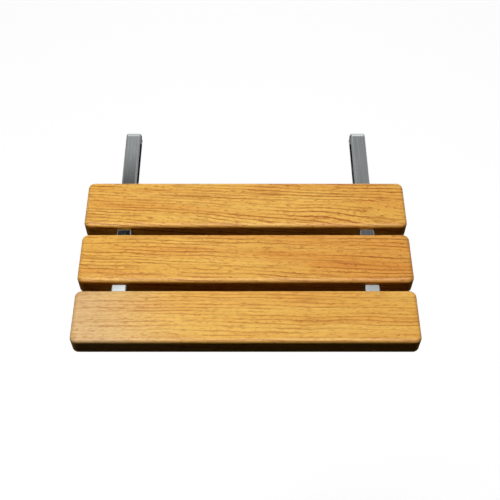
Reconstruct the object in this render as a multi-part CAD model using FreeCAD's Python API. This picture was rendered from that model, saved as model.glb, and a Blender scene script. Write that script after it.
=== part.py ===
import FreeCAD, Part
import math
import os

# Wall seat with three wooden slats on two steel channel rails.
# The wall arms and the braces fold into the open underside of the rails.
# Millimetres. X runs along the slats, -Y is the front edge, +Z is the sitting side.
# The plane z = 0 is the wall when the seat is folded flat, and the origin is the
# centre of the four wall screws. As modelled, the seat is folded flat.

# Slats
SLAT_LENGTH = 400.0
SLAT_DEPTH = 69.0
SLAT_THICKNESS = 26.0
SLAT_GAP = 11.4
SLAT_CORNER_RADIUS = 8.0
SLAT_TOP_ROUND = 5.0
SLAT_BOTTOM_ROUND = 2.0

# Rails: U-channels, open underneath, let into the slats
RAIL_INSET = 50.0
RAIL_WIDTH = 19.0
RAIL_HEIGHT = 20.0
RAIL_WALL = 1.5
BEND_INSIDE_RADIUS = 0.5
RAIL_FRONT_COVER = 6.0
RAIL_REAR_REACH = 83.0
GROOVE_SIDE_PLAY = 0.2
GROOVE_END_PLAY = 0.5

# Lugs on the rails' flanks, one screw each, flush with the slats' undersides
LUG_THICKNESS = 2.0
LUG_WIDTH = 16.0
LUG_SCREW_OFFSET = 9.0
LUG_PLAY = 0.3

# Wood screws with countersunk heads and a cross recess
SCREW_RADIUS = 1.75
SCREW_HEAD_RADIUS = 3.5
SCREW_LENGTH = 18.0
SCREW_POINT = 2.5
RECESS_REACH = 1.9
RECESS_WIDTH = 0.9
RECESS_DEPTH = 1.6

# Rubber buffers between the slats and the wall
BUFFER_THICKNESS = 2.0
BUFFER_RADIUS = 7.0
BUFFER_EDGE = 0.5
BUFFER_STEM_RADIUS = 2.5
BUFFER_STEM_LENGTH = 8.0
BUFFER_LUG_GAP = 6.0

# Wall arms: narrower channels that nest inside the rails
ARM_WALL = 1.5
ARM_SIDE_PLAY = 0.75
ARM_END_PLAY = 0.5
ARM_SHOULDER = 3.0
WALL_SCREW_START = 20.0
WALL_SCREW_SPACING = 60.0
WALL_SCREW_HOLE_RADIUS = 2.75

# Pivot pins, riveted over on the outer side, with their bushes and washers
PIVOT_PIN_RADIUS = 3.0
PIVOT_RUNNING_PLAY = 0.05
PIVOT_HEAD_RADIUS = 4.3
PIVOT_HEAD_HEIGHT = 1.8
PIVOT_RIVET_FLARE = 1.0
PIVOT_BUSH_RADIUS = 5.0
PIVOT_WASHER_RADIUS = 7.0
WASHER_PLAY = 0.1

# Braces: channels pinned in the rails, with a hook for the arms' catch pins
BRACE_WALL = 1.5
BRACE_HEIGHT = 12.0
BRACE_SIDE_PLAY = 1.75
BRACE_PIN_RADIUS = 2.5
BRACE_SPACER_RADIUS = 4.5
BRACE_TIP_PLAY = 12.0
NEST_GAP = 11.0
CATCH_PIN_RADIUS = 2.5
HOOK_PLAY = 0.2
HOOK_LIP = 0.8
HOOK_TIP = 2.5
ARM_WEB_CLEARANCE = 1.5

# Levels and lengths that follow from the sizes above
UNDERSIDE = BUFFER_THICKNESS
RAIL_TOP = UNDERSIDE + RAIL_HEIGHT
SLAT_TOP = UNDERSIDE + SLAT_THICKNESS
PIVOT_HEIGHT = UNDERSIDE + RAIL_HEIGHT / 2
PIVOT_Y = WALL_SCREW_START + WALL_SCREW_SPACING / 2
SLAT_PITCH = SLAT_DEPTH + SLAT_GAP
RAIL_SPACING = SLAT_LENGTH - 2 * RAIL_INSET
RAIL_INSIDE = RAIL_WIDTH - 2 * RAIL_WALL
RAIL_REACH = RAIL_REAR_REACH + 2 * SLAT_PITCH + SLAT_DEPTH - RAIL_FRONT_COVER
ARM_WIDTH = RAIL_INSIDE - 2 * ARM_SIDE_PLAY
ARM_INSIDE = ARM_WIDTH - 2 * ARM_WALL
ARM_END_RADIUS = RAIL_HEIGHT / 2 - RAIL_WALL - ARM_END_PLAY
BRACE_WIDTH = ARM_INSIDE - 2 * BRACE_SIDE_PLAY
BRACE_END_RADIUS = BRACE_HEIGHT / 2
BRACE_TIP = HOOK_TIP + BRACE_END_RADIUS

# The arm and the brace lie end to end inside the rail, so the catch pin's distance
# from the pivot follows from the room there: brace pin distance + brace length = room.
PIN_STEP = ARM_END_RADIUS + NEST_GAP + BRACE_END_RADIUS
BRACE_ROOM = RAIL_REACH - BRACE_TIP - BRACE_TIP_PLAY
CATCH_DISTANCE = math.sqrt(2 * BRACE_ROOM * (BRACE_ROOM - PIN_STEP)) - BRACE_ROOM
BRACE_PIN_DISTANCE = CATCH_DISTANCE + PIN_STEP
BRACE_LENGTH = math.hypot(CATCH_DISTANCE, BRACE_PIN_DISTANCE)

# The arm's web stops where the swung brace passes through it
BRACE_PASS = BRACE_END_RADIUS + ARM_WEB_CLEARANCE
BRACE_PASS += PIVOT_HEIGHT * BRACE_PIN_DISTANCE / BRACE_LENGTH
ARM_WEB_END = BRACE_PIN_DISTANCE - BRACE_PASS * BRACE_LENGTH / CATCH_DISTANCE

CUT_MARGIN = 1.0
SLAT_NAMES = ("rear", "middle", "front")
SIDES = (("left", -1), ("right", 1))


def forward(distance):
    """Y of a point this far in front of the pivot axis."""
    return PIVOT_Y - distance


def side_point(distance, rise):
    """Point in the rail's middle plane, by distance from the pivot and rise above it."""
    return FreeCAD.Vector(0, forward(distance), PIVOT_HEIGHT + rise)


def outline_prism(start, segments, half_width):
    """Prism of a side outline; a segment is an end point, or a point on the arc and its end."""
    edges = []
    here = side_point(*start)
    for segment in segments:
        end = side_point(*segment[-1])
        if len(segment) == 2:
            edges.append(Part.Arc(here, side_point(*segment[0]), end).toShape())
        else:
            edges.append(Part.LineSegment(here, end).toShape())
        here = end
    face = Part.Face(Part.Wire(edges))
    face.translate(FreeCAD.Vector(-half_width, 0, 0))
    return face.extrude(FreeCAD.Vector(2 * half_width, 0, 0))


def block(x_low, x_high, y_low, y_high, z_low, z_high):
    corner = FreeCAD.Vector(x_low, y_low, z_low)
    return Part.makeBox(x_high - x_low, y_high - y_low, z_high - z_low, corner)


def cross_pin(radius, x_low, x_high, distance, rise=0.0):
    """Cylinder along X through the rail's middle plane."""
    base = side_point(distance, rise)
    base.x = x_low
    return Part.makeCylinder(radius, x_high - x_low, base, FreeCAD.Vector(1, 0, 0))


def upright(radius, x, y, z_low, z_high):
    base = FreeCAD.Vector(x, y, z_low)
    return Part.makeCylinder(radius, z_high - z_low, base)


def channel_face(width, height, wall):
    """Section of a bent channel across Y, its legs on z = 0 and its web on top."""
    outer = wall + BEND_INSIDE_RADIUS
    slope = math.sqrt(0.5)
    half = width / 2
    inside = half - wall
    ceiling = height - wall

    def bend(center_x, center_z, radius, sign, from_leg):
        middle = (center_x + sign * radius * slope, center_z + radius * slope)
        leg = (center_x + sign * radius, center_z)
        web = (center_x, center_z + radius)
        return (middle, web) if from_leg else (middle, leg)

    center = half - outer
    level = height - outer
    path = [(-half, 0), ((-half, level),), bend(-center, level, outer, -1, True)]
    path += [((center, height),), bend(center, level, outer, 1, False)]
    path += [((half, 0),), ((inside, 0),), ((inside, level),)]
    path += [bend(center, level, BEND_INSIDE_RADIUS, 1, True)]
    path += [((-center, ceiling),), bend(-center, level, BEND_INSIDE_RADIUS, -1, False)]
    path += [((-inside, 0),), ((-half, 0),)]
    here = FreeCAD.Vector(path[0][0], 0, path[0][1])
    edges = []
    for segment in path[1:]:
        end = FreeCAD.Vector(segment[-1][0], 0, segment[-1][1])
        if len(segment) == 2:
            middle = FreeCAD.Vector(segment[0][0], 0, segment[0][1])
            edges.append(Part.Arc(here, middle, end).toShape())
        else:
            edges.append(Part.LineSegment(here, end).toShape())
        here = end
    return Part.Face(Part.Wire(edges))


def slat_center(index):
    """Y of a slat's middle; slat 0 is the rear one."""
    return forward(RAIL_REAR_REACH + SLAT_DEPTH / 2 + index * SLAT_PITCH)


def lug_places(index):
    """X and Y of the lugs' screws under one slat, with the side that each lug points to."""
    y = slat_center(index)
    for _, side in SIDES:
        for flank in (-1, 1):
            offset = flank * (RAIL_WIDTH / 2 + LUG_SCREW_OFFSET)
            yield side * RAIL_SPACING / 2 + offset, y, flank


def lug_outline(x, y, flank, play, z_low, z_high):
    """A tongue from the rail's flank with a round end about its screw."""
    radius = LUG_WIDTH / 2 + play
    root = x - flank * LUG_SCREW_OFFSET
    tongue = block(min(x, root), max(x, root), y - radius, y + radius, z_low, z_high)
    return tongue.fuse(upright(radius, x, y, z_low, z_high)).removeSplitter()


def screw_body(x, y):
    """Countersunk wood screw without its recess, the head flush with the lug's underside."""
    cone_height = SCREW_HEAD_RADIUS - SCREW_RADIUS
    base = FreeCAD.Vector(x, y, UNDERSIDE)
    head = Part.makeCone(SCREW_HEAD_RADIUS, SCREW_RADIUS, cone_height, base)
    shank_top = UNDERSIDE + SCREW_LENGTH - SCREW_POINT
    shank = upright(SCREW_RADIUS, x, y, UNDERSIDE + cone_height, shank_top)
    tip = Part.makeCone(SCREW_RADIUS, 0, SCREW_POINT, FreeCAD.Vector(x, y, shank_top))
    return head.fuse([shank, tip]).removeSplitter()


def screw(x, y):
    """Wood screw with a cross recess, whose blades narrow towards the bottom."""
    cutters = []
    for angle in (0, 90):
        corners = [(-RECESS_REACH, 0), (RECESS_REACH, 0),
                   (RECESS_REACH / 2, RECESS_DEPTH), (-RECESS_REACH / 2, RECESS_DEPTH)]
        points = [FreeCAD.Vector(across, -RECESS_WIDTH / 2, depth) for across, depth in corners]
        blade = Part.Face(Part.makePolygon(points + points[:1]))
        blade = blade.extrude(FreeCAD.Vector(0, RECESS_WIDTH, 0))
        blade.rotate(FreeCAD.Vector(0, 0, 0), FreeCAD.Vector(0, 0, 1), angle)
        blade.translate(FreeCAD.Vector(x, y, UNDERSIDE))
        cutters.append(blade)
    return screw_body(x, y).cut(cutters)


def buffer_places(index):
    """X and Y of the buffers under one slat, beside the rails' inner lugs."""
    lug_end = RAIL_WIDTH / 2 + LUG_SCREW_OFFSET + LUG_WIDTH / 2
    x = RAIL_SPACING / 2 - lug_end - BUFFER_LUG_GAP - BUFFER_RADIUS
    return [(-x, slat_center(index)), (x, slat_center(index))]


def wall_buffer(x, y):
    """Rubber disc with a stem pressed into the slat."""
    disc = upright(BUFFER_RADIUS, x, y, 0, BUFFER_THICKNESS)
    rim = [edge for edge in disc.Edges if edge.BoundBox.ZMax < BUFFER_THICKNESS / 2]
    disc = disc.makeChamfer(BUFFER_EDGE, rim)
    stem = upright(BUFFER_STEM_RADIUS, x, y, UNDERSIDE, UNDERSIDE + BUFFER_STEM_LENGTH)
    return disc.fuse(stem)


def slat_blank(y):
    """Plank with round corners in plan and rounded edges all round."""
    half = SLAT_LENGTH / 2
    plank = block(-half, half, y - SLAT_DEPTH / 2, y + SLAT_DEPTH / 2, UNDERSIDE, SLAT_TOP)
    corners = [edge for edge in plank.Edges if edge.BoundBox.ZLength > SLAT_THICKNESS / 2]
    plank = plank.makeFillet(SLAT_CORNER_RADIUS, corners)
    top = [edge for edge in plank.Edges if edge.BoundBox.ZMin > SLAT_TOP - CUT_MARGIN]
    plank = plank.makeFillet(SLAT_TOP_ROUND, top)
    bottom = [edge for edge in plank.Edges if edge.BoundBox.ZMax < UNDERSIDE + CUT_MARGIN]
    return plank.makeFillet(SLAT_BOTTOM_ROUND, bottom)


def rail_groove(side, y):
    """Room for a rail in one slat; it stops short of the front slat's front face."""
    center = side * RAIL_SPACING / 2
    half = RAIL_WIDTH / 2 + GROOVE_SIDE_PLAY
    front = max(y - SLAT_DEPTH / 2 - CUT_MARGIN, forward(RAIL_REACH) - GROOVE_END_PLAY)
    rear = y + SLAT_DEPTH / 2 + CUT_MARGIN
    return block(center - half, center + half, front, rear, UNDERSIDE - CUT_MARGIN, RAIL_TOP)


def slat(index):
    y = slat_center(index)
    cutters = [rail_groove(side, y) for _, side in SIDES]
    for x, screw_y, flank in lug_places(index):
        low = UNDERSIDE - CUT_MARGIN
        high = UNDERSIDE + LUG_THICKNESS
        cutters.append(lug_outline(x, screw_y, flank, LUG_PLAY, low, high))
        cutters.append(screw_body(x, screw_y))
    if index != 1:
        for x, buffer_y in buffer_places(index):
            top = UNDERSIDE + BUFFER_STEM_LENGTH
            cutters.append(upright(BUFFER_STEM_RADIUS, x, buffer_y, UNDERSIDE - CUT_MARGIN, top))
    return slat_blank(y).cut(cutters)


def rail_body():
    """Channel whose web wraps round the rear end, down to the level of the pivot."""
    radius = RAIL_HEIGHT / 2
    front = forward(RAIL_REACH)
    section = channel_face(RAIL_WIDTH, RAIL_HEIGHT, RAIL_WALL)
    section.translate(FreeCAD.Vector(0, front, UNDERSIDE))
    straight = section.extrude(FreeCAD.Vector(0, RAIL_REACH, 0))
    upper = channel_face(RAIL_WIDTH, radius, RAIL_WALL)
    upper.translate(FreeCAD.Vector(0, PIVOT_Y, PIVOT_HEIGHT))
    wrap = upper.revolve(side_point(0, 0), FreeCAD.Vector(-1, 0, 0), 90)
    slope = radius * math.sqrt(0.5)
    cheek = outline_prism(
        (0, 0),
        [((-radius, 0),), ((-slope, -slope), (0, -radius)), ((0, 0),)],
        RAIL_WALL / 2)
    cheeks = []
    for flank in (-1, 1):
        copy = cheek.copy()
        copy.translate(FreeCAD.Vector(flank * (RAIL_WIDTH - RAIL_WALL) / 2, 0, 0))
        cheeks.append(copy)
    return straight.fuse([wrap] + cheeks).removeSplitter()


def pivot_pin():
    """Domed head on the inner side, +X here; flared flush into the outer flank."""
    half = RAIL_WIDTH / 2
    shank = cross_pin(PIVOT_PIN_RADIUS, -half, half, 0)
    flare_base = side_point(0, 0)
    flare_base.x = -half
    flare = Part.makeCone(PIVOT_PIN_RADIUS + PIVOT_RIVET_FLARE, PIVOT_PIN_RADIUS,
                          PIVOT_RIVET_FLARE, flare_base, FreeCAD.Vector(1, 0, 0))
    dome = (PIVOT_HEAD_RADIUS ** 2 + PIVOT_HEAD_HEIGHT ** 2) / (2 * PIVOT_HEAD_HEIGHT)
    center = side_point(0, 0)
    center.x = half + PIVOT_HEAD_HEIGHT - dome
    ball = Part.makeSphere(dome, center)
    seat = cross_pin(PIVOT_HEAD_RADIUS + CUT_MARGIN, half, half + PIVOT_HEAD_HEIGHT, 0)
    return shank.fuse([flare, ball.common(seat)]).removeSplitter()


def rail(side):
    """Left or right rail with its lugs welded on and its pin holes."""
    center = FreeCAD.Vector(side * RAIL_SPACING / 2, 0, 0)
    body = rail_body()
    body = body.cut([mirrored(pivot_pin(), side), brace_pin()])
    body.translate(center)
    lugs = []
    screws = []
    for index in range(len(SLAT_NAMES)):
        for x, y, flank in lug_places(index):
            if x * side > 0:
                top = UNDERSIDE + LUG_THICKNESS
                lugs.append(lug_outline(x, y, flank, 0, UNDERSIDE, top))
                screws.append(screw_body(x, y))
    return body.fuse(lugs).removeSplitter().cut(screws)


def brace_pin():
    half = RAIL_WIDTH / 2
    return cross_pin(BRACE_PIN_RADIUS, -half, half, BRACE_PIN_DISTANCE)


def catch_pin():
    half = ARM_WIDTH / 2
    return cross_pin(CATCH_PIN_RADIUS, -half, half, CATCH_DISTANCE)


def arm_outline():
    """Side view of a wall arm: round at the pivot and round at the catch pin."""
    radius = ARM_END_RADIUS
    wall_plane = -PIVOT_HEIGHT
    shoulder = -math.sqrt(radius ** 2 - ARM_SHOULDER ** 2)
    tail = CATCH_DISTANCE
    slope = radius * math.sqrt(0.5)
    rise = math.pi / 8
    segments = [
        ((ARM_WEB_END, wall_plane),),
        ((tail + slope, -slope),),
        ((tail + radius * math.cos(rise), radius * math.sin(rise)), (tail, radius)),
        ((0, radius),),
        ((-radius, 0), (ARM_SHOULDER, shoulder)),
        ((ARM_SHOULDER, wall_plane),),
    ]
    return outline_prism((ARM_SHOULDER, wall_plane), segments, ARM_WIDTH)


def wall_arm():
    """Channel that opens towards the rail's web, with two wall screw holes."""
    height = PIVOT_HEIGHT + ARM_END_RADIUS
    section = channel_face(ARM_WIDTH, height, ARM_WALL)
    section.rotate(FreeCAD.Vector(0, 0, height / 2), FreeCAD.Vector(0, 1, 0), 180)
    tail = CATCH_DISTANCE + ARM_END_RADIUS + CUT_MARGIN
    section.translate(FreeCAD.Vector(0, forward(tail), 0))
    length = tail + ARM_END_RADIUS + CUT_MARGIN
    arm = section.extrude(FreeCAD.Vector(0, length, 0)).common(arm_outline())
    half = ARM_INSIDE / 2
    open_end = block(-half, half, forward(tail), forward(ARM_WEB_END),
                     -CUT_MARGIN, ARM_WALL + BEND_INSIDE_RADIUS)
    holes = [open_end, catch_pin()]
    holes.append(cross_pin(PIVOT_PIN_RADIUS + PIVOT_RUNNING_PLAY, -ARM_WIDTH, ARM_WIDTH, 0))
    for side in (-1, 1):
        y = side * WALL_SCREW_SPACING / 2
        holes.append(upright(WALL_SCREW_HOLE_RADIUS, 0, y, -CUT_MARGIN, 2 * ARM_WALL))
    return arm.cut(holes)


def hook_cut():
    """Notch that opens on the brace's lower side, with a pocket behind a small lip."""
    radius = CATCH_PIN_RADIUS + HOOK_PLAY
    reach = BRACE_PIN_DISTANCE + BRACE_LENGTH
    near = reach - radius + HOOK_LIP
    far = reach + radius + HOOK_LIP
    depth = -BRACE_HEIGHT
    pocket = cross_pin(radius, -BRACE_WIDTH, BRACE_WIDTH, reach)
    top = math.sqrt(radius ** 2 - (radius - HOOK_LIP) ** 2)
    mouth = outline_prism(
        (near, depth),
        [((near, top),), ((reach + HOOK_LIP, radius), (far, 0)), ((far, depth),),
         ((near, depth),)],
        BRACE_WIDTH)
    return pocket.fuse(mouth)


def brace():
    """Channel with its web on top, a round end at its pin and a hooked tip."""
    radius = BRACE_END_RADIUS
    rear = BRACE_PIN_DISTANCE
    tip = rear + BRACE_LENGTH + HOOK_TIP
    section = channel_face(BRACE_WIDTH, BRACE_HEIGHT, BRACE_WALL)
    length = tip + radius + CUT_MARGIN - rear + radius + CUT_MARGIN
    start = FreeCAD.Vector(0, forward(tip + radius + CUT_MARGIN), PIVOT_HEIGHT - radius)
    section.translate(start)
    bar = section.extrude(FreeCAD.Vector(0, length, 0))
    shape = outline_prism(
        (rear, radius),
        [((rear - radius, 0), (rear, -radius)), ((tip, -radius),),
         ((tip + radius, 0), (tip, radius)), ((rear, radius),)],
        BRACE_WIDTH)
    bore = cross_pin(BRACE_PIN_RADIUS + PIVOT_RUNNING_PLAY, -BRACE_WIDTH, BRACE_WIDTH, rear)
    return bar.common(shape).cut([bore, hook_cut()])


def ring(outer, inner, x_low, x_high, distance):
    tube = cross_pin(outer, x_low, x_high, distance)
    return tube.cut(cross_pin(inner, x_low - CUT_MARGIN, x_high + CUT_MARGIN, distance))


def ring_pair(outer, inner, inside, outside, distance):
    """Two rings, one against each flank of the rail."""
    left = ring(outer, inner, -outside, -inside, distance)
    return Part.makeCompound([left, ring(outer, inner, inside, outside, distance)])


def pivot_washers():
    bore = PIVOT_PIN_RADIUS + PIVOT_RUNNING_PLAY
    inside = ARM_WIDTH / 2 + WASHER_PLAY
    return ring_pair(PIVOT_WASHER_RADIUS, bore, inside, RAIL_INSIDE / 2, 0)


def brace_spacers():
    bore = BRACE_PIN_RADIUS + PIVOT_RUNNING_PLAY
    inside = BRACE_WIDTH / 2 + WASHER_PLAY
    return ring_pair(BRACE_SPACER_RADIUS, bore, inside, RAIL_INSIDE / 2, BRACE_PIN_DISTANCE)


def pivot_bush():
    bore = PIVOT_PIN_RADIUS + PIVOT_RUNNING_PLAY
    return ring(PIVOT_BUSH_RADIUS, bore, -ARM_INSIDE / 2, ARM_INSIDE / 2, 0)


def mirrored(shape, side):
    """The left side is modelled as it is; the right side is its mirror image."""
    if side < 0:
        return shape
    return shape.mirror(FreeCAD.Vector(0, 0, 0), FreeCAD.Vector(1, 0, 0))


def placed(shape, side):
    copy = mirrored(shape, side).copy()
    copy.translate(FreeCAD.Vector(side * RAIL_SPACING / 2, 0, 0))
    return copy


def build():
    parts = {}
    for index, name in enumerate(SLAT_NAMES):
        parts[name + "_slat"] = slat(index)
        screws = [screw(x, y) for x, y, _ in lug_places(index)]
        parts[name + "_slat_screws"] = Part.makeCompound(screws)
    buffers = [wall_buffer(x, y) for index in (0, 2) for x, y in buffer_places(index)]
    parts["wall_buffers"] = Part.makeCompound(buffers)
    for name, side in SIDES:
        parts[name + "_rail"] = rail(side)
        parts[name + "_wall_arm"] = placed(wall_arm(), side)
        parts[name + "_brace"] = placed(brace(), side)
        parts[name + "_pivot_pin"] = placed(pivot_pin(), side)
        parts[name + "_pivot_bush"] = placed(pivot_bush(), side)
        parts[name + "_pivot_washers"] = placed(pivot_washers(), side)
        parts[name + "_brace_pin"] = placed(brace_pin(), side)
        parts[name + "_brace_spacers"] = placed(brace_spacers(), side)
        parts[name + "_catch_pin"] = placed(catch_pin(), side)
    return parts


os.makedirs("parts", exist_ok=True)
for node, shape in build().items():
    shape.exportStep("parts/" + node + ".step")
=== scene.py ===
import math

import bmesh
import bpy
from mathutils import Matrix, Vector


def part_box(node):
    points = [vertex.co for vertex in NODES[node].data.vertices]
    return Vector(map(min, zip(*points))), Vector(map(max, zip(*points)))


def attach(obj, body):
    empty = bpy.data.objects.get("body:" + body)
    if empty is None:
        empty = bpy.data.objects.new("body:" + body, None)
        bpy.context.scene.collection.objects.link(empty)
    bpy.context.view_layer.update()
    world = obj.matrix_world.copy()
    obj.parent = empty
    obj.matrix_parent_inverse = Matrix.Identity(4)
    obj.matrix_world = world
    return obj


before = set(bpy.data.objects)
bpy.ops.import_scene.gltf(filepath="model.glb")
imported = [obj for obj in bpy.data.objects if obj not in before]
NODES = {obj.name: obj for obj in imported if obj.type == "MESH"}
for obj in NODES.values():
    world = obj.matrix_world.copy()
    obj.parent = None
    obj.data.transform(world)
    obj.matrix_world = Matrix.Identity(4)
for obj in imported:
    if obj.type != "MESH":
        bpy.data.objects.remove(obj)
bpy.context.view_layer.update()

FRONT_SLAT_LOW, FRONT_SLAT_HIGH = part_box("front_slat")

# The camera stands where the photograph's perspective puts it, measured from the front
# slat: its height above the slats' tops, its distance in front of the slats' front face.
CAMERA_HEIGHT = 0.861
CAMERA_STANDOFF = 0.459
CAMERA_PITCH_DEG = 55.85
CAMERA_LENS_MM = 62.0
CAMERA_SHIFT_X = 0.0087


def linear(red, green, blue):
    """Linear colour of an 8-bit display colour."""
    def channel(value):
        value /= 255
        return value / 12.92 if value <= 0.04045 else ((value + 0.055) / 1.055) ** 2.4
    return channel(red), channel(green), channel(blue), 1.0


def grey(level):
    """Linear grey, which can be brighter than 1 in the world."""
    return level, level, level, 1.0


class Shader:
    """A node tree, with short calls for the nodes used here."""

    def __init__(self, tree):
        self.tree = tree
        tree.nodes.clear()

    def node(self, kind, **settings):
        made = self.tree.nodes.new(kind)
        for name, value in settings.items():
            setattr(made, name, value)
        return made

    def link(self, source, target):
        self.tree.links.new(source, target)

    def put(self, socket, value):
        """Links a socket to an output, or sets its value."""
        if isinstance(value, bpy.types.NodeSocket):
            self.link(value, socket)
        else:
            socket.default_value = value

    def show(self, closure, kind="ShaderNodeOutputMaterial"):
        """Makes a closure what the tree shows."""
        output = self.node(kind)
        self.link(closure, output.inputs["Surface"])

    def math(self, operation, first, second=0.0, clamp=False):
        made = self.node("ShaderNodeMath", operation=operation, use_clamp=clamp)
        self.put(made.inputs[0], first)
        self.put(made.inputs[1], second)
        return made.outputs[0]

    def add(self, first, second):
        return self.math("ADD", first, second)

    def times(self, first, second):
        return self.math("MULTIPLY", first, second)

    def vector(self, operation, first, second):
        made = self.node("ShaderNodeVectorMath", operation=operation)
        self.put(made.inputs[0], first)
        self.put(made.inputs[1], second)
        return made.outputs[0]

    def split(self, vector):
        made = self.node("ShaderNodeSeparateXYZ")
        self.put(made.inputs[0], vector)
        return made.outputs

    def join(self, x, y, z):
        made = self.node("ShaderNodeCombineXYZ")
        for socket, value in zip(made.inputs, (x, y, z)):
            self.put(socket, value)
        return made.outputs[0]

    def coordinate(self, kind):
        return self.node("ShaderNodeTexCoord").outputs[kind]

    def noise(self, place, scale, detail=2.0, roughness=0.5):
        """Noise with its own scale along each axis, in cycles per metre."""
        made = self.node("ShaderNodeTexNoise")
        self.put(made.inputs["Vector"], self.vector("MULTIPLY", place, scale))
        self.put(made.inputs["Scale"], 1.0)
        self.put(made.inputs["Detail"], detail)
        self.put(made.inputs["Roughness"], roughness)
        return made.outputs["Fac"]

    def wander(self, place, scale, reach):
        """Noise round zero that spans at most the reach."""
        return self.times(self.math("SUBTRACT", self.noise(place, scale), 0.5), reach)

    def ramp(self, value, low, high, start=0.0, end=1.0):
        """Smooth ramp from start at low to end at high."""
        made = self.node("ShaderNodeMapRange", interpolation_type="SMOOTHSTEP")
        for socket, number in zip(made.inputs, (value, low, high, start, end)):
            self.put(socket, number)
        return made.outputs[0]

    def mix(self, factor, first, second, blend="MIX"):
        """Mixes two colours, whose sockets in the node are 6 and 7, and 2 for the result."""
        made = self.node("ShaderNodeMix", data_type="RGBA", blend_type=blend)
        self.put(made.inputs["Factor"], factor)
        self.put(made.inputs[6], first)
        self.put(made.inputs[7], second)
        return made.outputs[2]

    def bump(self, height, distance):
        made = self.node("ShaderNodeBump")
        self.put(made.inputs["Height"], height)
        self.put(made.inputs["Distance"], distance)
        return made.outputs["Normal"]

    def matt(self, level):
        """A matt grey surface."""
        made = self.node("ShaderNodeBsdfDiffuse")
        made.inputs["Color"].default_value = grey(level)
        return made.outputs[0]


def bare_material(name):
    """A material with an empty node tree."""
    material = bpy.data.materials.new(name)
    material.use_nodes = True
    return material, Shader(material.node_tree)


def new_material(name):
    """A material that shows one Principled surface."""
    material, shader = bare_material(name)
    surface = shader.node("ShaderNodeBsdfPrincipled")
    shader.show(surface.outputs[0])
    return material, shader, surface


# Detail and roughness of fine noise, and the range that most of any noise lies in.
FINE_DETAIL = (3.0, 0.6)
NOISE_RANGE = (0.3, 0.7)
# Depth of fine relief.
FINE_RELIEF = 0.00004

WOOD_LIGHT = linear(248, 200, 100)
WOOD_MIDDLE = linear(241, 185, 84)
WOOD_ORANGE = linear(225, 147, 61)
WOOD_LINE = linear(176, 95, 31)
WOOD_PORE = linear(132, 70, 26)
# Pale colour of a painted sheen on a slat's left end, a painted highlight.
WOOD_PAINTED_SHEEN = linear(226, 193, 142)
# Painted shade: sides and end grain are coloured darker than the tops, for the shade that falls on them.
SIDE_PAINTED_SHADE = (0.54, 0.45, 0.28, 1.0)

RING_WIDTH = 0.0042
# Shares of a ring's width over which its dark late wood sets in, and stops.
LATE_STARTS = (0.55, 0.90)
LATE_STOPS = (1.0, 0.93)

# How far a slat's seed moves its noise, in metres along each axis.
LOG_SHIFT = (1.7, 0.9, 0.4)
GRAIN_SHIFT = (1.0, 2.1, 0.7)
# Noise that moves the rings: cycles per metre along each axis, and its reach in metres.
PITH_BEND = ((3.0, 8.0, 8.0), 0.040)
RING_RIPPLE = ((16.0, 60.0, 60.0), 0.0045)
RING_JAG = ((230.0, 330.0, 330.0), 0.0012)
# Metres of grain pattern for one radian round the pith.
GRAIN_TURN = 0.05
# Noise in the grain: cycles per metre along the slat, across the rings and round them,
# then the detail and the roughness of the noise.
RING_VIGOUR = ((9.0, 110.0, 60.0), 2.0)
FIBRE = ((120.0, 700.0, 450.0), 3.0, 0.65)
STREAK = ((14.0, 330.0, 200.0), 2.0, 0.6)
DASH = ((140.0, 420.0, 300.0), 2.0, 0.55)
PORE = ((80.0, 900.0, 700.0), 2.0, 0.6)
PATCH = ((6.0, 60.0, 40.0), 2.0)
WARMTH = ((4.0, 60.0, 40.0), 2.0)
# Where each noise starts to show and where it shows in full.
VIGOUR_SHOWS = (0.38, 0.62)
FIBRE_SHOWS = (0.46, 0.72)
STREAK_SHOWS = (0.50, 0.72)
DASH_SHOWS = (0.60, 0.70)
PORE_SHOWS = (0.64, 0.72)
PATCH_SHOWS = (0.35, 0.65)
PATCH_LIGHT = (0.1, 0.8)
WARMTH_SHOWS = (0.42, 0.68)
# How strongly each shows at most.
FIBRE_DEPTH = 0.48
STREAK_DEPTH = 0.60
DASH_DEPTH = 0.65
PORE_DEPTH = 0.36
# The weakest rings as a share of the strongest, and what late wood adds to dashes and pores.
FAINT_RING = 0.15
LATE_MORE = 0.10
# Where along the slat it turns redder to the right, and paler to the left as a painted sheen,
# how much the grain's bend shifts both, and how much of the redness the lines have.
REDDER_STRETCH = (-0.06, 0.20)
REDDER_SWAY = 7.5
REDDER_LINES = 0.7
PAINTED_SHEEN_STRETCH = (-0.02, -0.17)
PAINTED_SHEEN_SWAY = 5.0
# Roughness and share of oil at the two ends of the fibre noise's range.
WOOD_ROUGHNESS = (0.62, 0.74)
OIL_SHARE = (0.85, 0.65)
OIL_ROUGHNESS = 0.24
WOOD_SPECULAR = 0.02
# Upward share of the normal at which a surface counts as a side and gets painted shade, and as oiled on
# top.
SHADED_SIDE_FACING = (0.75, 0.10)
OIL_FACING = (0.25, 0.70)
# How high the fibres stand, as a share of the pores' depth.
FIBRE_RELIEF = 0.5


def shifted(seed, steps):
    """How far one slat's noise is moved along each axis."""
    return tuple(seed * step for step in steps)


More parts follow.
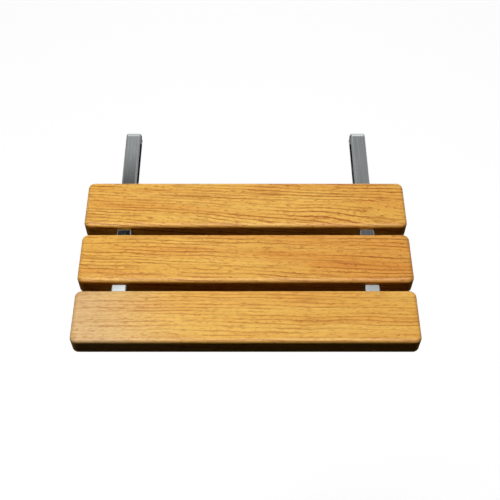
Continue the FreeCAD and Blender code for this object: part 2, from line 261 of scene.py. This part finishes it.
def log_place(shader, seed, pith, lean, dip):
    """Where a point lies in the log that the slat was cut from.

    Gives its place along the slat, the noise that bends the grain, its distance from the
    pith, and its place in the grain: along the slat, out from the pith and round it.
    """
    place = shader.coordinate("Object")
    moved = shader.vector("ADD", place, shifted(seed, LOG_SHIFT))
    x, y, z = shader.split(place)
    bend = shader.wander(moved, *PITH_BEND)
    pith_y = shader.add(shader.times(x, lean), pith[0])
    pith_z = shader.add(shader.add(shader.times(x, dip), pith[1]), bend)
    across = shader.math("SUBTRACT", y, pith_y)
    above = shader.math("SUBTRACT", z, pith_z)
    squares = shader.add(shader.math("POWER", across, 2.0), shader.math("POWER", above, 2.0))
    radius = shader.add(shader.math("SQRT", squares), shader.wander(moved, *RING_RIPPLE))
    radius = shader.add(radius, shader.wander(moved, *RING_JAG))
    turn = shader.times(shader.math("ARCTAN2", across, above), GRAIN_TURN)
    grain = shader.vector("ADD", shader.join(x, radius, turn), shifted(seed, GRAIN_SHIFT))
    return x, bend, radius, grain


def wood(name, seed, pith, lean, dip, warmth, vigour, redder, painted_sheen):
    """Oiled ring-porous wood cut from a log.

    pith is the log's centre line in Y and Z at the slat's middle; lean and dip are how far
    it runs off in Y and Z for each metre along the slat. warmth is the share of orange,
    vigour the strength of the grain, redder how much the slat turns orange at its right end,
    and the last argument how much a painted sheen pales its left end.
    """
    material, shader, surface = new_material(name)
    x, bend, radius, grain = log_place(shader, seed, pith, lean, dip)

    phase = shader.math("FRACT", shader.math("DIVIDE", radius, RING_WIDTH))
    late = shader.times(shader.ramp(phase, *LATE_STARTS), shader.ramp(phase, *LATE_STOPS))
    strength = shader.ramp(shader.noise(grain, *RING_VIGOUR), *VIGOUR_SHOWS,
                           FAINT_RING * vigour, vigour)
    late = shader.times(late, strength)
    fibre = shader.noise(grain, *FIBRE)
    streak = shader.noise(grain, *STREAK)
    dash = shader.add(shader.times(late, LATE_MORE), shader.noise(grain, *DASH))
    pore = shader.add(shader.times(late, LATE_MORE), shader.noise(grain, *PORE))
    hole = shader.ramp(pore, *PORE_SHOWS)

    light = shader.ramp(shader.noise(grain, *PATCH), *PATCH_SHOWS, *PATCH_LIGHT)
    color = shader.mix(light, WOOD_MIDDLE, WOOD_LIGHT)
    orange = shader.ramp(shader.noise(grain, *WARMTH), *WARMTH_SHOWS, 0.0, warmth)
    color = shader.mix(orange, color, WOOD_ORANGE)
    rightward = shader.ramp(shader.add(x, shader.times(bend, REDDER_SWAY)), *REDDER_STRETCH)
    color = shader.mix(shader.times(rightward, redder), color, WOOD_ORANGE)
    # Painted sheen: the left end is mixed towards a pale colour in place of a soft highlight.
    sheen_leftward = shader.ramp(shader.add(x, shader.times(bend, PAINTED_SHEEN_SWAY)), *PAINTED_SHEEN_STRETCH)
    color = shader.mix(shader.times(sheen_leftward, painted_sheen), color, WOOD_PAINTED_SHEEN)
    line = shader.mix(shader.times(rightward, redder * REDDER_LINES), WOOD_LINE, WOOD_PORE)
    color = shader.mix(late, color, line)
    streaks = shader.ramp(streak, *STREAK_SHOWS, 0.0, STREAK_DEPTH * vigour)
    color = shader.mix(streaks, color, line)
    color = shader.mix(shader.ramp(fibre, *FIBRE_SHOWS, 0.0, FIBRE_DEPTH), color, WOOD_LINE)
    dashes = shader.times(shader.ramp(dash, *DASH_SHOWS), DASH_DEPTH * vigour)
    color = shader.mix(dashes, color, line)
    color = shader.mix(shader.times(hole, PORE_DEPTH * vigour), color, WOOD_PORE)

    facing = shader.split(shader.coordinate("Normal"))[2]
    # Painted shade: surfaces that face sideways are coloured darker than the tops.
    side = shader.ramp(shader.math("ABSOLUTE", facing), *SHADED_SIDE_FACING)
    side_shade = shader.mix(side, grey(1.0), SIDE_PAINTED_SHADE)
    color = shader.mix(1.0, color, side_shade, "MULTIPLY")
    shader.link(color, surface.inputs["Base Color"])
    shader.link(shader.ramp(fibre, *NOISE_RANGE, *WOOD_ROUGHNESS), surface.inputs["Roughness"])
    surface.inputs["Specular IOR Level"].default_value = WOOD_SPECULAR
    oil = shader.times(shader.ramp(facing, *OIL_FACING), shader.ramp(fibre, *NOISE_RANGE, *OIL_SHARE))
    shader.link(oil, surface.inputs["Coat Weight"])
    surface.inputs["Coat Roughness"].default_value = OIL_ROUGHNESS
    height = shader.math("SUBTRACT", shader.times(fibre, FIBRE_RELIEF), hole)
    shader.link(shader.bump(height, FINE_RELIEF), surface.inputs["Normal"])
    return material


# Brush lines: cycles per metre across and along them, then what they do to the steel's
# tone and to its roughness.
BRUSH_ACROSS = 1500.0
BRUSH_ALONG = 12.0
BRUSH_TONE = (0.90, 1.08)
BRUSH_ROUGHER = (-0.03, 0.03)
# Smears: their noise, where it shows, and what it adds to the roughness.
SMEAR = ((60.0, 25.0, 60.0), 3.0)
SMEAR_SHOWS = (0.45, 0.7)
SMEAR_ROUGHER = (0.0, 0.03)
# Highlights are drawn out across the brush lines.
BRUSH_ANISOTROPY = 0.9
QUARTER_TURN = 0.25


def brushed_steel(name, color, roughness, along):
    """Steel with fine brush lines along one axis (0, 1 or 2) and faint smears."""
    material, shader, surface = new_material(name)
    place = shader.coordinate("Object")
    scale = [BRUSH_ACROSS] * 3
    scale[along] = BRUSH_ALONG
    brush = shader.noise(place, tuple(scale), *FINE_DETAIL)
    smear = shader.noise(place, *SMEAR)
    tone = shader.ramp(brush, *NOISE_RANGE, *BRUSH_TONE)
    toned = shader.mix(1.0, color, shader.join(tone, tone, tone), "MULTIPLY")
    shader.link(toned, surface.inputs["Base Color"])
    surface.inputs["Metallic"].default_value = 1.0
    rough = shader.add(shader.ramp(brush, *NOISE_RANGE, *BRUSH_ROUGHER), roughness)
    rough = shader.add(rough, shader.ramp(smear, *SMEAR_SHOWS, *SMEAR_ROUGHER))
    shader.link(rough, surface.inputs["Roughness"])
    lines = shader.node("ShaderNodeVectorTransform", vector_type="VECTOR",
                        convert_from="OBJECT", convert_to="WORLD")
    lines.inputs[0].default_value = tuple(float(axis == along) for axis in range(3))
    shader.link(lines.outputs[0], surface.inputs["Tangent"])
    surface.inputs["Anisotropic"].default_value = BRUSH_ANISOTROPY
    surface.inputs["Anisotropic Rotation"].default_value = QUARTER_TURN
    return material


MOULD_ROUGHNESS_SPREAD = 0.06
# Faint clouds: their noise, where it shows, and how much it darkens.
CLOUD = ((90.0, 90.0, 90.0), 2.0)
CLOUD_SHOWS = (0.4, 0.65)
CLOUD_TONE = 0.82


def moulded(name, color, roughness, grain):
    """Plastic or rubber with a fine moulded grain, in cycles per metre, and faint clouds."""
    material, shader, surface = new_material(name)
    place = shader.coordinate("Object")
    fine = shader.noise(place, (grain, grain, grain), *FINE_DETAIL)
    cloud = shader.ramp(shader.noise(place, *CLOUD), *CLOUD_SHOWS)
    dark = tuple(value * CLOUD_TONE for value in color[:3]) + (1.0,)
    shader.link(shader.mix(cloud, color, dark), surface.inputs["Base Color"])
    rough = shader.ramp(fine, *NOISE_RANGE, roughness - MOULD_ROUGHNESS_SPREAD,
                        roughness + MOULD_ROUGHNESS_SPREAD)
    shader.link(rough, surface.inputs["Roughness"])
    shader.link(shader.bump(fine, FINE_RELIEF), surface.inputs["Normal"])
    return material


def dress(node, material):
    """Gives a whole node one material."""
    for slot in NODES[node].material_slots:
        slot.material = material


def dress_slats():
    """Each slat comes from its own log and has its own colour."""
    dress("rear_slat", wood("wood_rear", seed=1.0, pith=(-0.135, -0.020), lean=0.0, dip=-0.10,
                            warmth=0.35, vigour=1.0, redder=0.12, painted_sheen=0.0))
    dress("middle_slat", wood("wood_middle", seed=2.3, pith=(-0.235, -0.030), lean=-0.02, dip=-0.03,
                              warmth=0.60, vigour=0.85, redder=0.60, painted_sheen=0.0))
    # The front slat has a painted sheen on its left end.
    dress("front_slat", wood("wood_front", seed=3.9, pith=(-0.330, -0.035), lean=0.02, dip=-0.04,
                             warmth=0.24, vigour=0.58, redder=0.10, painted_sheen=0.75))


def dress_fittings():
    """Steel, nylon and rubber, picked by what each node's name ends with."""
    rail_steel = brushed_steel("rail_steel", linear(203, 207, 207), roughness=0.065, along=1)
    # The pins' steel is a darker grey than the screws': painted shade for the dark surroundings the pin
    # heads mirror.
    pin_steel_painted_shade = brushed_steel("pin_steel_painted_shade", linear(150, 151, 153), roughness=0.18, along=0)
    screw_steel = brushed_steel("screw_steel", linear(214, 214, 214), roughness=0.22, along=0)
    nylon = moulded("nylon", linear(226, 224, 214), roughness=0.5, grain=1400.0)
    rubber = moulded("rubber", linear(34, 34, 35), roughness=0.8, grain=1100.0)
    for name in NODES:
        if name.endswith(("_rail", "_wall_arm", "_brace")):
            dress(name, rail_steel)
        elif name.endswith("_pin"):
            dress(name, pin_steel_painted_shade)
        elif name.endswith("_screws"):
            dress(name, screw_steel)
        elif name.endswith(("_washers", "_bush", "_spacers")):
            dress(name, nylon)
        elif name == "wall_buffers":
            dress(name, rubber)


WELD_LENGTH = 0.0144
WELD_HALF_WIDTH = 0.0009
WELD_HALF_HEIGHT = 0.0005
# Spacing of the ripples, and of the rings of points that make them.
WELD_RIPPLE = 0.0011
WELD_STEP = 0.00022
WELD_SIDES = 12
# Length over which an end tapers, and what is left of the taper at the very end.
WELD_TAPER = 0.0011
WELD_END = 0.0002
# Thickness between the ripples and what a ripple adds, as shares of the full thickness.
WELD_WAIST = 0.84
WELD_SWELL = 0.16
# The bead wanders sideways: how far, how fast along it, and how one bead differs from the next.
WELD_WANDER = 0.00008
WELD_WANDER_RATE = 900.0
WELD_WANDER_SHIFT = 40.0


def weld_bead(mesh, x, y_middle, z):
    """One closed bead along Y, swelling once for each ripple and tapering at its ends."""
    count = int(round(WELD_LENGTH / WELD_STEP))
    rings = []
    for index in range(count + 1):
        along = index * WELD_STEP
        ripple = along / WELD_RIPPLE % 1.0
        to_end = min(along, WELD_LENGTH - along)
        taper = math.sqrt(min(1.0, (to_end + WELD_END) / WELD_TAPER))
        swell = taper * (WELD_WAIST + WELD_SWELL * math.sqrt(ripple * (2.0 - ripple)))
        wander = WELD_WANDER * math.sin(along * WELD_WANDER_RATE + x * WELD_WANDER_SHIFT)
        ring = []
        for side in range(WELD_SIDES):
            turn = 2 * math.pi * side / WELD_SIDES
            ring.append(mesh.verts.new((
                x + wander + swell * WELD_HALF_WIDTH * math.cos(turn),
                y_middle - WELD_LENGTH / 2 + along,
                z + swell * WELD_HALF_HEIGHT * math.sin(turn))))
        rings.append(ring)
    for before, after in zip(rings, rings[1:]):
        for side in range(WELD_SIDES):
            following = (side + 1) % WELD_SIDES
            mesh.faces.new((before[side], before[following], after[following], after[side]))
    mesh.faces.new(list(reversed(rings[0])))
    mesh.faces.new(rings[-1])


def rail_welds(side, material):
    """Beads where the lugs under the three slats meet the rail's flanks."""
    lug_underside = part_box(side + "_rail")[0].z
    # The brace pin ends flush with the rail's flanks.
    pin_low, pin_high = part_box(side + "_brace_pin")
    mesh = bmesh.new()
    for slat in ("rear_slat", "middle_slat", "front_slat"):
        low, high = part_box(slat)
        for flank_x in (pin_low.x, pin_high.x):
            weld_bead(mesh, flank_x, (low.y + high.y) / 2, lug_underside)
    bmesh.ops.recalc_face_normals(mesh, faces=mesh.faces[:])
    data = bpy.data.meshes.new(side + "_rail_welds")
    mesh.to_mesh(data)
    mesh.free()
    data.materials.append(material)
    for polygon in data.polygons:
        polygon.use_smooth = len(polygon.vertices) == 4
    piece = bpy.data.objects.new(side + "_rail_welds", data)
    bpy.context.scene.collection.objects.link(piece)
    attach(piece, "seat")


def add_welds():
    weld_steel = brushed_steel("weld_steel", linear(176, 172, 166), roughness=0.32, along=1)
    for side in ("left", "right"):
        rail_welds(side, weld_steel)


FLOOR_LEVEL = -1.3
FLOOR_HALF = 8.0
# The floor's own glow, by squared distance from the middle: from, to, glow there and there.
FLOOR_GLOW = (1.5, 16.0, 0.9, 1.0)
FLOOR_DIMMER_MIRRORED = 0.48
# The floor's matt grey where it is seen or mirrored, and where it only passes light on.
FLOOR_PALE = 0.3
FLOOR_DIM = 0.05

# The black card's two sides, its height above the floor and its matt grey.
CARD_X = (-0.16, 0.16)
CARD_Y = (0.96, 1.38)
CARD_LIFT = 0.02
CARD_BLACK = 0.004


def ray_kinds(shader):
    """1 on rays that the camera sees directly or through glass, and 1 on mirrored rays."""
    rays = shader.node("ShaderNodeLightPath").outputs
    direct = shader.math("ADD", rays["Is Camera Ray"], rays["Is Transmission Ray"], clamp=True)
    return direct, rays["Is Glossy Ray"]


def level_sheet(name, x_range, y_range, level, material):
    """One horizontal rectangle."""
    west, east = x_range
    south, north = y_range
    corners = [(west, south, level), (east, south, level), (east, north, level), (west, north, level)]
    mesh = bpy.data.meshes.new(name)
    mesh.from_pydata(corners, [], [(0, 1, 2, 3)])
    mesh.materials.append(material)
    sheet = bpy.data.objects.new(name, mesh)
    bpy.context.scene.collection.objects.link(sheet)
    return sheet


def pale_floor():
    """Plain floor well below the seat, white where it is seen, with a faint soft shadow."""
    material, shader = bare_material("floor")
    direct, mirrored = ray_kinds(shader)
    x, y, _ = shader.split(shader.coordinate("Object"))
    away = shader.add(shader.times(x, x), shader.times(y, y))
    dimmer = shader.times(mirrored, FLOOR_DIMMER_MIRRORED)
    glow = shader.node("ShaderNodeEmission")
    shader.link(shader.math("SUBTRACT", shader.ramp(away, *FLOOR_GLOW), dimmer), glow.inputs["Strength"])
    lit = shader.node("ShaderNodeAddShader")
    shader.link(glow.outputs[0], lit.inputs[0])
    shader.link(shader.matt(FLOOR_PALE), lit.inputs[1])
    pick = shader.node("ShaderNodeMixShader")
    shader.link(shader.math("ADD", direct, mirrored, clamp=True), pick.inputs[0])
    shader.link(shader.matt(FLOOR_DIM), pick.inputs[1])
    shader.link(lit.outputs[0], pick.inputs[2])
    shader.show(pick.outputs[0])
    across = (-FLOOR_HALF, FLOOR_HALF)
    level_sheet("floor", across, across, FLOOR_LEVEL, material)


def dark_card():
    """Black card just above the floor, only in reflections, for the rails' dark inner sides."""
    material, shader = bare_material("card_behind")
    shader.show(shader.matt(CARD_BLACK))
    card = level_sheet("card_behind", CARD_X, CARD_Y, FLOOR_LEVEL + CARD_LIFT, material)
    card.visible_camera = False
    card.visible_diffuse = False
    card.visible_shadow = False


# What the steel mirrors, from the horizon (0) to straight up (1): brightness to the left
# and right, straight ahead between them, and out to the sides.
SKY_STOPS = (
    (0.00, 0.90, 1.00, 0.90, 0.30),
    (0.55, 0.95, 1.15, 0.90, 0.40),
    (0.70, 0.56, 0.44, 0.95, 0.36),
    (0.738, 0.48, 0.37, 0.95, 0.32),
    (0.752, 0.43, 0.37, 0.95, 0.30),
    (0.765, 0.27, 0.36, 0.90, 0.30),
    (0.778, 0.09, 0.34, 0.80, 0.30),
    (0.790, 0.012, 0.17, 0.55, 0.32),
    (0.831, 0.012, 0.14, 0.50, 0.36),
    (0.843, 1.47, 0.90, 0.60, 0.45),
    (1.00, 1.57, 0.96, 0.80, 0.60),
)
# Sideways share of a direction at which straight ahead fades in, and at which the sides do.
AHEAD_EDGE = (0.10, 0.07)
SIDES_EDGE = (0.20, 0.30)
# Two bright windows overhead, which fade in over these shares of a direction.
SOFT_WINDOW = 5.2
SOFT_WINDOW_REAR = (0.42, 0.10)
SOFT_WINDOW_FRONT = (-0.80, -0.50)
SOFT_WINDOW_ASIDE = (0.42, 0.28)
SOFT_WINDOW_RISE = (0.45, 0.65)
SIDE_WINDOW = 5.0
SIDE_WINDOW_LEFT = (-0.03, -0.14)
SIDE_WINDOW_RISE = (0.868, 0.893)
# Brightness on the rays that only carry light.
AMBIENT = 0.006


def graded_studio(shader):
    """The studio's brightness in each direction, as reflections show it."""
    x, y, z = shader.split(shader.coordinate("Generated"))
    heights, *columns = zip(*SKY_STOPS)
    tones = []
    for levels in columns:
        ramp = shader.node("ShaderNodeValToRGB")
        shader.link(z, ramp.inputs[0])
        # The ramp comes with stops at 0 and 1.
        stops = ramp.color_ramp.elements
        for height in heights[1:-1]:
            stops.new(height)
        for stop, level in zip(stops, levels):
            stop.color = grey(level)
        tones.append(ramp.outputs["Color"])
    left, right, ahead, sides = tones
    aside = shader.math("ABSOLUTE", x)
    graded = shader.mix(shader.math("GREATER_THAN", x, 0.0), left, right)
    graded = shader.mix(shader.ramp(aside, *AHEAD_EDGE), graded, ahead)
    graded = shader.mix(shader.ramp(aside, *SIDES_EDGE), graded, sides)
    window = shader.times(shader.ramp(y, *SOFT_WINDOW_REAR), shader.ramp(y, *SOFT_WINDOW_FRONT))
    window = shader.times(window, shader.ramp(aside, *SOFT_WINDOW_ASIDE))
    window = shader.times(window, shader.ramp(z, *SOFT_WINDOW_RISE))
    graded = shader.mix(window, graded, grey(SOFT_WINDOW))
    beside = shader.times(shader.ramp(x, *SIDE_WINDOW_LEFT), shader.ramp(z, *SIDE_WINDOW_RISE))
    return shader.mix(beside, graded, grey(SIDE_WINDOW))


def studio_world():
    """White to the camera, a graded studio in reflections, and dim for everything else."""
    world = bpy.data.worlds.new("studio")
    bpy.context.scene.world = world
    world.use_nodes = True
    shader = Shader(world.node_tree)
    direct, mirrored = ray_kinds(shader)
    shown = shader.mix(mirrored, grey(AMBIENT), graded_studio(shader))
    shown = shader.mix(direct, shown, grey(1.0))
    background = shader.node("ShaderNodeBackground")
    shader.link(shown, background.inputs["Color"])
    shader.show(background.outputs[0], "ShaderNodeOutputWorld")


def soft_box(name, place, size, power, target):
    """Area lamp that stays out of reflections, which show the world's windows instead."""
    data = bpy.data.lights.new(name, "AREA")
    data.shape = "RECTANGLE"
    data.size, data.size_y = size
    data.energy = power
    lamp = bpy.data.objects.new(name, data)
    lamp.location = place
    lamp.rotation_euler = (Vector(target) - Vector(place)).to_track_quat("-Z", "Y").to_euler()
    lamp.visible_camera = False
    lamp.visible_glossy = False
    bpy.context.scene.collection.objects.link(lamp)


def studio_lights():
    """A long narrow soft box overhead, and weak ones that leave the slats' front faces dark."""
    soft_box("key", place=(-0.18, -0.03, 1.9), size=(1.5, 0.18), power=35.3,
             target=(-0.1, -0.14, 0.0))
    soft_box("left_fill", place=(-2.0, -0.15, -0.8), size=(0.25, 1.0), power=4.0,
             target=(0.0, -0.15, 0.0))
    soft_box("right_fill", place=(2.0, -0.15, -0.8), size=(0.25, 1.0), power=4.0,
             target=(0.0, -0.15, 0.0))
    soft_box("rear_fill", place=(0.0, 2.2, 0.6), size=(1.6, 1.0), power=6.0,
             target=(0.0, -0.10, 0.02))
    soft_box("under_fill", place=(0.0, -0.148, -1.2), size=(1.6, 0.12), power=4.0,
             target=(0.0, -0.148, 0.0))


def photo_camera():
    data = bpy.data.cameras.new("camera")
    data.lens = CAMERA_LENS_MM
    data.shift_x = CAMERA_SHIFT_X
    camera = bpy.data.objects.new("camera", data)
    camera.location = (0.0, FRONT_SLAT_LOW.y - CAMERA_STANDOFF, FRONT_SLAT_HIGH.z + CAMERA_HEIGHT)
    camera.rotation_euler = (math.radians(90 - CAMERA_PITCH_DEG), 0.0, 0.0)
    bpy.context.scene.collection.objects.link(camera)
    bpy.context.scene.camera = camera


bpy.context.scene.view_settings.view_transform = "Standard"
dress_slats()
dress_fittings()
add_welds()
pale_floor()
studio_world()
dark_card()
studio_lights()
photo_camera()
